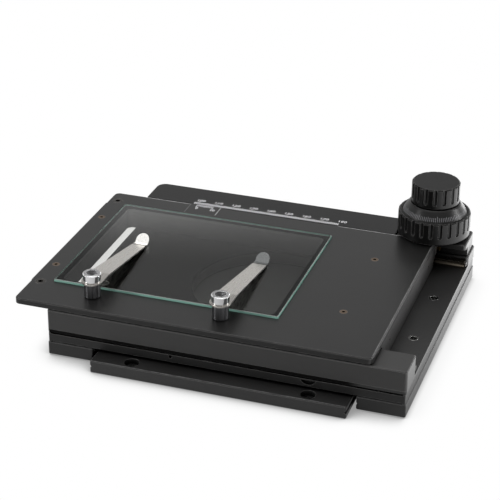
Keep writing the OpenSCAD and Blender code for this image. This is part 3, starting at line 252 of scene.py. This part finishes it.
def metal(name, tint, rough, streak=(1, 1, 1), grain=0.2, dark=0.75, edge_radius=0.00015, recess_shade_depth=0.0,
          recess_shade_share=0.04, stretch=0.0, blade_end_reflection=None):
    """Ground or machined metal with streaks along one axis and slight stains.

    Given a depth, it paints shade into recesses that deep, down to the given share of the colour; given a
    colour for the blade's end, it paints a dark line at the blade's fold and that colour past it, a painted
    reflection.
    """
    t = Tree(name)
    lines = t.noise(STREAKS, 3, 0.65, t.vmath("MULTIPLY", t.at, streak))
    stains = t.noise(STAINS, 3, 0.6)
    edge, rounded = t.edge(edge_radius)
    base = t.colour(t.math("MULTIPLY", lines, stains), shaded(tint, dark), tint)
    # sharp edges painted a little lighter than the face: a painted edge highlight
    face = t.colour(edge, base, shaded(tint, 1.12))
    if blade_end_reflection:
        # painted shade: a thin dark line across the fold; past it the given colour, a painted reflection
        along = t.part_of(t.add("ShaderNodeTexCoord").outputs["Generated"], "Y")
        face = t.colour(t.ramp(along, 0.886, 0.890, 0.0, 1.0), face, shaded(tint, 0.15))
        face = t.colour(t.ramp(along, 0.904, 0.908, 0.0, 1.0), face, blade_end_reflection)
    # painted shade in recesses, such as screw sockets
    if recess_shade_depth:
        face = t.colour(t.crevice(recess_shade_depth), shaded(tint, recess_shade_share), face)
    t.set(Base_Color=face)
    t.set(Metallic=1.0)
    t.set(Roughness=t.spread(lines, rough - 0.05, rough + 0.08))
    t.set(Anisotropic=stretch, Anisotropic_Rotation=0.25)
    t.bump(lines, grain, GRAIN_HEIGHT, rounded)
    return t.material


mat = {
    "plate": anodised("black_anodised_plate", 0.007, 0.34, 0.22, shine=0.42),
    "scale": anodised("black_anodised_scale", 0.002, 0.4, 0.1, shine=0.28),
    "body": anodised("black_anodised_body", 0.011, 0.38, 0.12, deep=0.02),
    # the channel floor also gets a painted shadow left of x = 0.068 m, where the stage plate lies over it
    "floor": anodised("black_anodised_channel", 0.011, 0.38, 0.12, deep=0.02, painted_shadow_x=0.068),
    "bar": anodised("black_anodised_bar", 0.019, 0.38, 0.2, deep=0.008),
    "lower": anodised("black_anodised_lower", 0.006, 0.42, 0.2, deep=0.008),
    "spacer": anodised("black_anodised_spacer", 0.005, 0.42, 0.2, shine=0.42, deep=0.008),
    "mount": anodised("black_anodised_mount", 0.009, 0.42, 0.2, shine=0.66, deep=0.008),
    # darker copy of the anodising for the scale riser and stage frame, which sit under the plates: painted
    # shade
    "recess": anodised("black_anodised_recess", 0.004, 0.5, 0.03, deep=0.01),
    "knob": anodised("black_anodised_knob", 0.002, 0.36, 0.2, grain=0.5, edge_radius=0.0003, shine=0.18),
    "dial": anodised("black_anodised_dial", 0.004, 0.33, 0.2, grain=0.5, edge_radius=0.0003, shine=0.3),
    "rail": metal("ground_rail_steel", (0.11, 0.095, 0.075), 0.25, (0.02, 1, 1)),
    "rack": metal("milled_rack_steel", (0.45, 0.44, 0.43), 0.35, (1, 1, 0.05)),
    "shaft": metal("ground_shaft_steel", (0.55, 0.55, 0.55), 0.2, (1, 1, 0.05)),
    # the clips differ only in the colour past the fold, a painted reflection: bright on the left clip, dark
    # on the right
    "clip_left": metal("spring_steel_left_painted_bright_end", (0.53, 0.51, 0.48), 0.27, (1, 0.03, 1),
                       grain=0.1, dark=0.9, blade_end_reflection=(0.84, 0.83, 0.80)),
    "clip_right": metal("spring_steel_right_painted_dark_end", (0.51, 0.49, 0.46), 0.27, (1, 0.03, 1),
                        grain=0.1, dark=0.9, blade_end_reflection=(0.17, 0.175, 0.175)),
    "chrome": metal("polished_chrome", (0.93, 0.93, 0.94), 0.09, grain=0.02, dark=0.97,
                    recess_shade_depth=0.003, recess_shade_share=0.3),
    "post": metal("turned_post_steel", (0.25, 0.25, 0.26), 0.3, (1, 1, 0.01),
                  grain=0.1, dark=0.2, edge_radius=0.0003, stretch=0.8),
    "brass": metal("machined_brass", (0.62, 0.43, 0.16), 0.3, (1, 1, 0.1)),
    # drive bush and pinion in near-black brass: painted shade under the knob
    "dark_brass": metal("brass_painted_dark_as_shade", (0.10, 0.07, 0.035), 0.35, (1, 1, 0.1)),
    "screw": metal("black_oxide_screw", (0.08, 0.075, 0.07), 0.35, recess_shade_depth=0.0015),
    "plate_screw": metal("bronzed_screw", (0.19, 0.14, 0.10), 0.4, recess_shade_depth=0.0018),
    "bright_screw": metal("bright_steel_screw", (0.36, 0.36, 0.35), 0.16, recess_shade_depth=0.002),
}


def clear_glass():
    """Float glass: green where light runs along inside it, at the ground edges."""
    t = Tree("clear_glass")
    upright = t.part_of(t.add("ShaderNodeNewGeometry").outputs["Normal"], "Z")
    side = t.ramp(t.math("ABSOLUTE", upright), 0.9, 0.3, 0.0, 1.0)
    smear = t.noise(12, 3, 0.5)
    t.set(Base_Color=t.colour(side, (0.80, 0.805, 0.785), (0.24, 0.46, 0.385)))
    t.set(Roughness=t.math("ADD", t.spread(smear, 0.0, 0.015), t.math("MULTIPLY", side, 0.25)))
    t.set(IOR=1.52)
    t.set(Transmission_Weight=t.math("SUBTRACT", 1.0, side))
    return t.material


mat["glass"] = clear_glass()


def scale_paint(name, dark, light, chalk_scale, rough):
    """Chalky paint in the engraved marks."""
    t = Tree(name)
    chalk = t.noise(chalk_scale, 2, 0.6)
    t.set(Base_Color=t.colour(chalk, dark, light))
    t.set(Roughness=rough)
    t.bump(chalk, 0.1, PAINT_HEIGHT)
    return t.material


mat["paint"] = scale_paint("white_scale_paint", (0.62, 0.62, 0.64), (0.85, 0.85, 0.87), 1800, 0.6)
mat["dial_paint"] = scale_paint("faded_dial_paint", (0.10, 0.10, 0.11), (0.22, 0.22, 0.23), 1200, 0.5)


def painted_edge_highlight(name, tone):
    """A painted highlight along an edge: a light, partly metallic strip broken into patches."""
    t = Tree(name)
    gaps = t.noise(240, 4, 0.7)
    t.set(Base_Color=t.colour(t.ramp(gaps, 0.35, 0.6, 0.0, 1.0), grey(tone * 0.5), grey(tone)))
    t.set(Metallic=0.3)
    t.set(Roughness=t.spread(gaps, 0.3, 0.5))
    t.bump(gaps, 0.1, PAINT_HEIGHT)
    return t.material


mat["bright_edge"] = painted_edge_highlight("painted_bright_edge_highlight", 0.5)
mat["faint_edge"] = painted_edge_highlight("painted_faint_edge_highlight", 0.2)

look = {
    "mount": ["mounting_plate"],
    "lower": ["guide_block_left", "guide_block_right"],
    "spacer": ["spacer_plate"],
    "floor": ["channel_floor"],
    "bar": ["front_bar"],
    "body": ["rear_beam", "knob_housing", "end_cover"],
    "recess": ["scale_riser", "stage_frame"],
    "scale": ["scale_plate"],
    "plate": ["stage_plate", "vernier_plate"],
    "knob": ["x_knob", "y_knob"],
    "dial": ["graduated_dial"],
    "rail": ["fixed_rail_front", "fixed_rail_rear", "moving_rail_front", "moving_rail_rear"],
    "rack": ["y_rack", "x_rack"],
    "shaft": ["y_balls_left", "y_balls_right", "x_balls_front", "x_balls_rear", "x_shaft", "y_shaft"],
    "brass": ["lower_bush", "y_cage_left", "y_cage_right", "x_cage_front", "x_cage_rear", "y_pinion"],
    "dark_brass": ["drive_bush", "x_pinion"],
    "screw": ["y_rack_screws", "beam_screws", "fixed_rail_screws", "rail_end_screws", "end_cover_screws",
              "moving_rail_screws", "x_rack_screws", "edge_screws", "x_knob_screw", "y_knob_screw"],
    "plate_screw": ["plate_screws"],
    "bright_screw": ["carriage_screws"],
    "glass": ["glass_plate"],
    "post": ["clip_post_left", "clip_post_right"],
    "chrome": ["clip_screw_left", "clip_screw_right"],
    "clip_left": ["clip_left"],
    "clip_right": ["clip_right"],
}
for material, names in look.items():
    for name in names:
        nodes[name].data.materials.clear()
        nodes[name].data.materials.append(mat[material])


# ---------------------------------------------------------------- printed marks and painted edge highlights

def flat_piece(name, body, quads, material):
    """One mesh made of flat four-sided marks."""
    mesh = bpy.data.meshes.new(name)
    points, faces = [], []
    for quad in quads:
        faces.append([len(points) + i for i in range(4)])
        points += quad
    mesh.from_pydata([Vector(p) * MM for p in points], [], faces)
    mesh.materials.append(material)
    piece = bpy.data.objects.new(name, mesh)
    scene.collection.objects.link(piece)
    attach(piece, body)


def patch(x0, y0, x1, y1, z):
    """A flat rectangle between two corners."""
    return [(x0, y0, z), (x1, y0, z), (x1, y1, z), (x0, y1, z)]


def tick(x, y0, y1, width, z):
    """A tick at x, from y0 to y1."""
    return patch(x - width / 2, y0, x + width / 2, y1, z)


def label(name, text, x, y, z, size, body, spacing=1.0):
    """A printed number, centred on x with its foot at y."""
    curve = bpy.data.curves.new(name, "FONT")
    curve.body = text
    curve.size = size * MM
    curve.align_x = "CENTER"
    curve.space_character = spacing
    curve.extrude = 0.000005
    curve.offset = 0.00002
    curve.materials.append(mat["paint"])
    piece = bpy.data.objects.new(name, curve)
    piece.location = Vector((x, y, z)) * MM
    scene.collection.objects.link(piece)
    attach(piece, body)


def tick_length(i, long, middle, short):
    """Every tenth, every fifth and every other tick."""
    return long if i % 10 == 0 else middle if i % 5 == 0 else short


# All in millimetres. Marks lie a little over the face below them.
MARK_LIFT = 0.02
TICK_FOOT = 0.05
SCALE_LENGTHS = (4.0, 2.9, 2.4)
SCALE_TICKS = range(-2, 80)
SCALE_INSET = 3.45
LONG_TICK_W = 0.34
TICK_W = 0.42
NUMBERS = range(100, 190, 10)
NUMBER_SIZE = 3.1
NUMBER_RIGHT = 0.5
NUMBER_UP = 3.9
VERNIER_LENGTHS = (3.4, 2.6, 2.0)
VERNIER_START = 0.4
VERNIER_STEP = 0.9
VERNIER_TICK_W = 0.32
VERNIER_NUMBERS = ((0, 1.2), (10, 10.0))
VERNIER_NUMBER_SIZE = 3.0
VERNIER_NUMBER_DOWN = 5.4

plate_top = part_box("stage_plate")[1].z / MM + MARK_LIFT
scale_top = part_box("scale_plate")[1].z / MM + MARK_LIFT
scale_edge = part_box("scale_plate")[0].y / MM
vernier_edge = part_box("vernier_plate")[1].y / MM
scale_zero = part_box("vernier_plate")[0].x / MM + SCALE_INSET

ticks = []
for i in SCALE_TICKS:
    foot = scale_edge + TICK_FOOT
    wide = LONG_TICK_W if i % 10 == 0 else TICK_W
    ticks.append(tick(scale_zero + i, foot, foot + tick_length(i, *SCALE_LENGTHS), wide, scale_top))
flat_piece("scale_ticks", "y_carriage", ticks, mat["paint"])
for number in NUMBERS:
    label(f"scale_number_{number}", f"{number}", scale_zero + number - NUMBERS[0] + NUMBER_RIGHT,
          scale_edge + NUMBER_UP, scale_top + MARK_LIFT / 2, NUMBER_SIZE, "y_carriage", 1.1)

ticks = []
for i in range(11):
    foot = vernier_edge - TICK_FOOT
    ticks.append(tick(scale_zero + VERNIER_START + VERNIER_STEP * i,
                      foot - tick_length(i, *VERNIER_LENGTHS), foot, VERNIER_TICK_W, plate_top))
flat_piece("vernier_ticks", "x_carriage", ticks, mat["paint"])
for number, along in VERNIER_NUMBERS:
    label(f"vernier_number_{number}", f"{number}", scale_zero + along, vernier_edge - VERNIER_NUMBER_DOWN,
          plate_top, VERNIER_NUMBER_SIZE, "x_carriage")


def edge_highlight_strip(name, body, x0, y0, x1, y1, z, material):
    """A painted highlight along an upper edge."""
    flat_piece(name, body, [patch(x0, y0, x1, y1, z)], mat[material])


CHAMFER = 0.55
CORNER = 3
EDGE_W = 0.4
END_EDGE_W = 0.3
SCALE_SPAN = 80
plate_low, plate_high = (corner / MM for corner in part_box("stage_plate"))
mount_low, mount_high = (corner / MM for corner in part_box("mounting_plate"))
vernier_low, vernier_high = (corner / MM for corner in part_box("vernier_plate"))
rear_edge = plate_high.y - CHAMFER
end_edge = plate_high.x - CHAMFER
# painted highlights along the chamfered edges of the stage plate, the vernier plate and the mounting plate
edge_highlight_strip("rear_edge_left", "x_carriage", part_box("scale_plate")[0].x / MM, rear_edge - EDGE_W,
           vernier_low.x, rear_edge, plate_top, "bright_edge")
edge_highlight_strip("rear_edge_right", "x_carriage", scale_zero + SCALE_SPAN, rear_edge - EDGE_W,
           plate_high.x - CORNER, rear_edge, plate_top, "bright_edge")
edge_highlight_strip("plate_end_edge", "x_carriage", end_edge - END_EDGE_W, plate_low.y + CORNER,
           end_edge, plate_high.y - CORNER, plate_top, "faint_edge")
edge_highlight_strip("vernier_edge_left", "x_carriage", vernier_low.x - 0.1, vernier_low.y,
           vernier_low.x + 0.15, vernier_high.y, plate_top, "faint_edge")
edge_highlight_strip("vernier_edge_right", "x_carriage", vernier_high.x - 0.15, vernier_low.y + 1.5,
           vernier_high.x + 0.2, vernier_high.y, plate_top, "bright_edge")
edge_highlight_strip("mount_front_edge", "mounting_base", mount_low.x + 1, mount_low.y + 0.1, mount_high.x - 1,
           mount_low.y + 0.6, mount_high.z + MARK_LIFT, "faint_edge")


DIAL_COUNT = 100
DIAL_TICK = 0.12  # half a tick's width
DIAL_TOP_R = 13.6
DIAL_FOOT = 0.8
DIAL_HEAD = 0.5
# where a tick starts and ends, as shares of the way up the cone
DIAL_START = 0.1
DIAL_ENDS = (0.6, 0.54, 0.48)


def dial_ticks():
    """Fine divisions round the cone of the dial."""
    low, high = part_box("graduated_dial")
    centre = (low + high) / 2
    foot_r = (high.x - low.x) / 2 / MM
    foot_z = low.z / MM + DIAL_FOOT
    top_z = high.z / MM - DIAL_HEAD
    quads = []
    for i in range(DIAL_COUNT):
        angle = 2 * math.pi * i / DIAL_COUNT
        end = tick_length(i, *DIAL_ENDS)
        points = []
        for share, side in ((DIAL_START, -1), (DIAL_START, 1), (end, 1), (end, -1)):
            r = foot_r + (DIAL_TOP_R - foot_r) * share + MARK_LIFT
            z = foot_z + (top_z - foot_z) * share + MARK_LIFT
            points.append((centre.x / MM + r * math.cos(angle) - side * DIAL_TICK * math.sin(angle),
                           centre.y / MM + r * math.sin(angle) + side * DIAL_TICK * math.cos(angle), z))
        quads.append(points)
    flat_piece("dial_divisions", "x_drive", quads, mat["dial_paint"])


dial_ticks()


# ---------------------------------------------------------------- floor, light and background

FLOOR_REACH = 12.0
FLOOR_Z = -0.00005
FLOOR_COLOUR = (0.95, 0.95, 0.95, 1)
SHADOW_REACH = 0.016
SHADOW_SAMPLES = 24
SHADOW_RAMP = (0.30, 0.97, 0.30, 1.0)
# strength of the contact shadow: from x to x, from share to share, and through the glass
SHADOW_RIGHT = (0.088, 0.093, 1.0, 0.22)
SHADOW_LEFT = (-0.112, -0.09, 0.35, 1.0)
SHADOW_IN_GLASS = 0.25
# what the part's own faces mirror of the floor: dim in front, bright at the right and behind
MIRROR_FRONT = (-0.12, 0.07, 0.62, 0.42)
MIRROR_RIGHT = (0.04, 0.2, 0.0, 3.6)
MIRROR_LEAN = 0.35


def emission(n, strength):
    shader = n.add("ShaderNodeEmission")
    n.put(strength, shader.inputs["Strength"])
    return shader.outputs[0]


def make_floor():
    """Pale floor whose shadow shows only close to the part, as in an overexposed light tent."""
    mesh = bpy.data.meshes.new("floor")
    mesh.from_pydata(patch(-FLOOR_REACH, -FLOOR_REACH, FLOOR_REACH, FLOOR_REACH, 0), [], [(0, 1, 2, 3)])
    floor = bpy.data.objects.new("floor", mesh)
    floor.location.z = FLOOR_Z
    scene.collection.objects.link(floor)
    material = bpy.data.materials.new("pale_floor")
    material.use_nodes = True
    n = Nodes(material.node_tree)
    n.tree.nodes.clear()
    at = n.add("ShaderNodeTexCoord").outputs["Object"]
    x, y = n.part_of(at, "X"), n.part_of(at, "Y")
    path = n.add("ShaderNodeLightPath").outputs
    near = n.add("ShaderNodeAmbientOcclusion")
    near.samples = SHADOW_SAMPLES
    near.inputs["Distance"].default_value = SHADOW_REACH
    shade = n.math("SUBTRACT", 1.0, n.ramp(near.outputs["AO"], *SHADOW_RAMP, True))
    strength = n.math("MULTIPLY", n.ramp(x, *SHADOW_RIGHT, True), n.ramp(x, *SHADOW_LEFT, True))
    in_glass = n.ramp(path["Is Transmission Ray"], 0.0, 1.0, 1.0, SHADOW_IN_GLASS, True)
    strength = n.math("MULTIPLY", strength, in_glass)
    seen = emission(n, n.math("SUBTRACT", 1.0, n.math("MULTIPLY", shade, strength)))
    other = n.add("ShaderNodeBsdfDiffuse")
    other.inputs["Color"].default_value = FLOOR_COLOUR
    across = n.math("ADD", x, n.math("MULTIPLY", y, MIRROR_LEAN))
    mirrored = emission(n, n.math("ADD", n.ramp(x, *MIRROR_FRONT, True), n.ramp(across, *MIRROR_RIGHT, True)))
    unseen = n.mix(path["Is Glossy Ray"], other.outputs[0], mirrored)
    in_sight = n.math("MAXIMUM", path["Is Camera Ray"], path["Is Transmission Ray"])
    out = n.add("ShaderNodeOutputMaterial")
    n.put(n.mix(in_sight, unseen, seen), out.inputs["Surface"])
    mesh.materials.append(material)


# brightness of the tent by the sine of the height over the horizon
TENT_TOP = 1.35
TENT_STOPS = [(0.0, 0.9), (0.30, 0.8), (0.425, 0.9), (0.443, 0.4),
              (0.455, 0.26), (0.58, 0.3), (0.75, 0.8), (1.0, TENT_TOP)]


def make_world():
    """A light tent: bright overhead, dimmer towards the top of the backdrop, white to the camera."""
    world = bpy.data.worlds.new("tent")
    scene.world = world
    world.use_nodes = True
    n = Nodes(world.node_tree)
    n.tree.nodes.clear()
    ramp = n.add("ShaderNodeValToRGB")
    n.put(n.part_of(n.add("ShaderNodeTexCoord").outputs["Generated"], "Z"), ramp.inputs["Fac"])
    elements = ramp.color_ramp.elements
    while len(elements) < len(TENT_STOPS):
        elements.new(0.5)
    for element, (place, value) in zip(elements, TENT_STOPS):
        element.position = place
        element.color = (*grey(value / TENT_TOP), 1)
    tent = n.add("ShaderNodeBackground")
    n.put(ramp.outputs["Color"], tent.inputs["Color"])
    tent.inputs["Strength"].default_value = TENT_TOP
    white = n.add("ShaderNodeBackground")
    white.inputs["Color"].default_value = (1, 1, 1, 1)
    in_sight = n.add("ShaderNodeLightPath").outputs["Is Camera Ray"]
    out = n.add("ShaderNodeOutputWorld")
    n.put(n.mix(in_sight, tent.outputs[0], white.outputs[0]), out.inputs["Surface"])


LOOKED_AT = (0, 0, 0.02)


def soft_light(name, at, target, size, power):
    data = bpy.data.lights.new(name, "AREA")
    data.shape = "RECTANGLE"
    data.size, data.size_y = size
    data.energy = power
    lamp = bpy.data.objects.new(name, data)
    lamp.location = at
    lamp.rotation_euler = (Vector(target) - Vector(at)).to_track_quat("-Z", "Y").to_euler()
    scene.collection.objects.link(lamp)


make_floor()
make_world()
soft_light("overhead", (-0.3, 0.2, 1.6), (0, 0, 0), (1.2, 1.2), 8)
soft_light("right_back", (1.0, 0.42, 0.35), LOOKED_AT, (0.2, 0.7), 5)
soft_light("left_front", (-0.95, -0.60, 0.30), LOOKED_AT, (0.12, 0.9), 6)
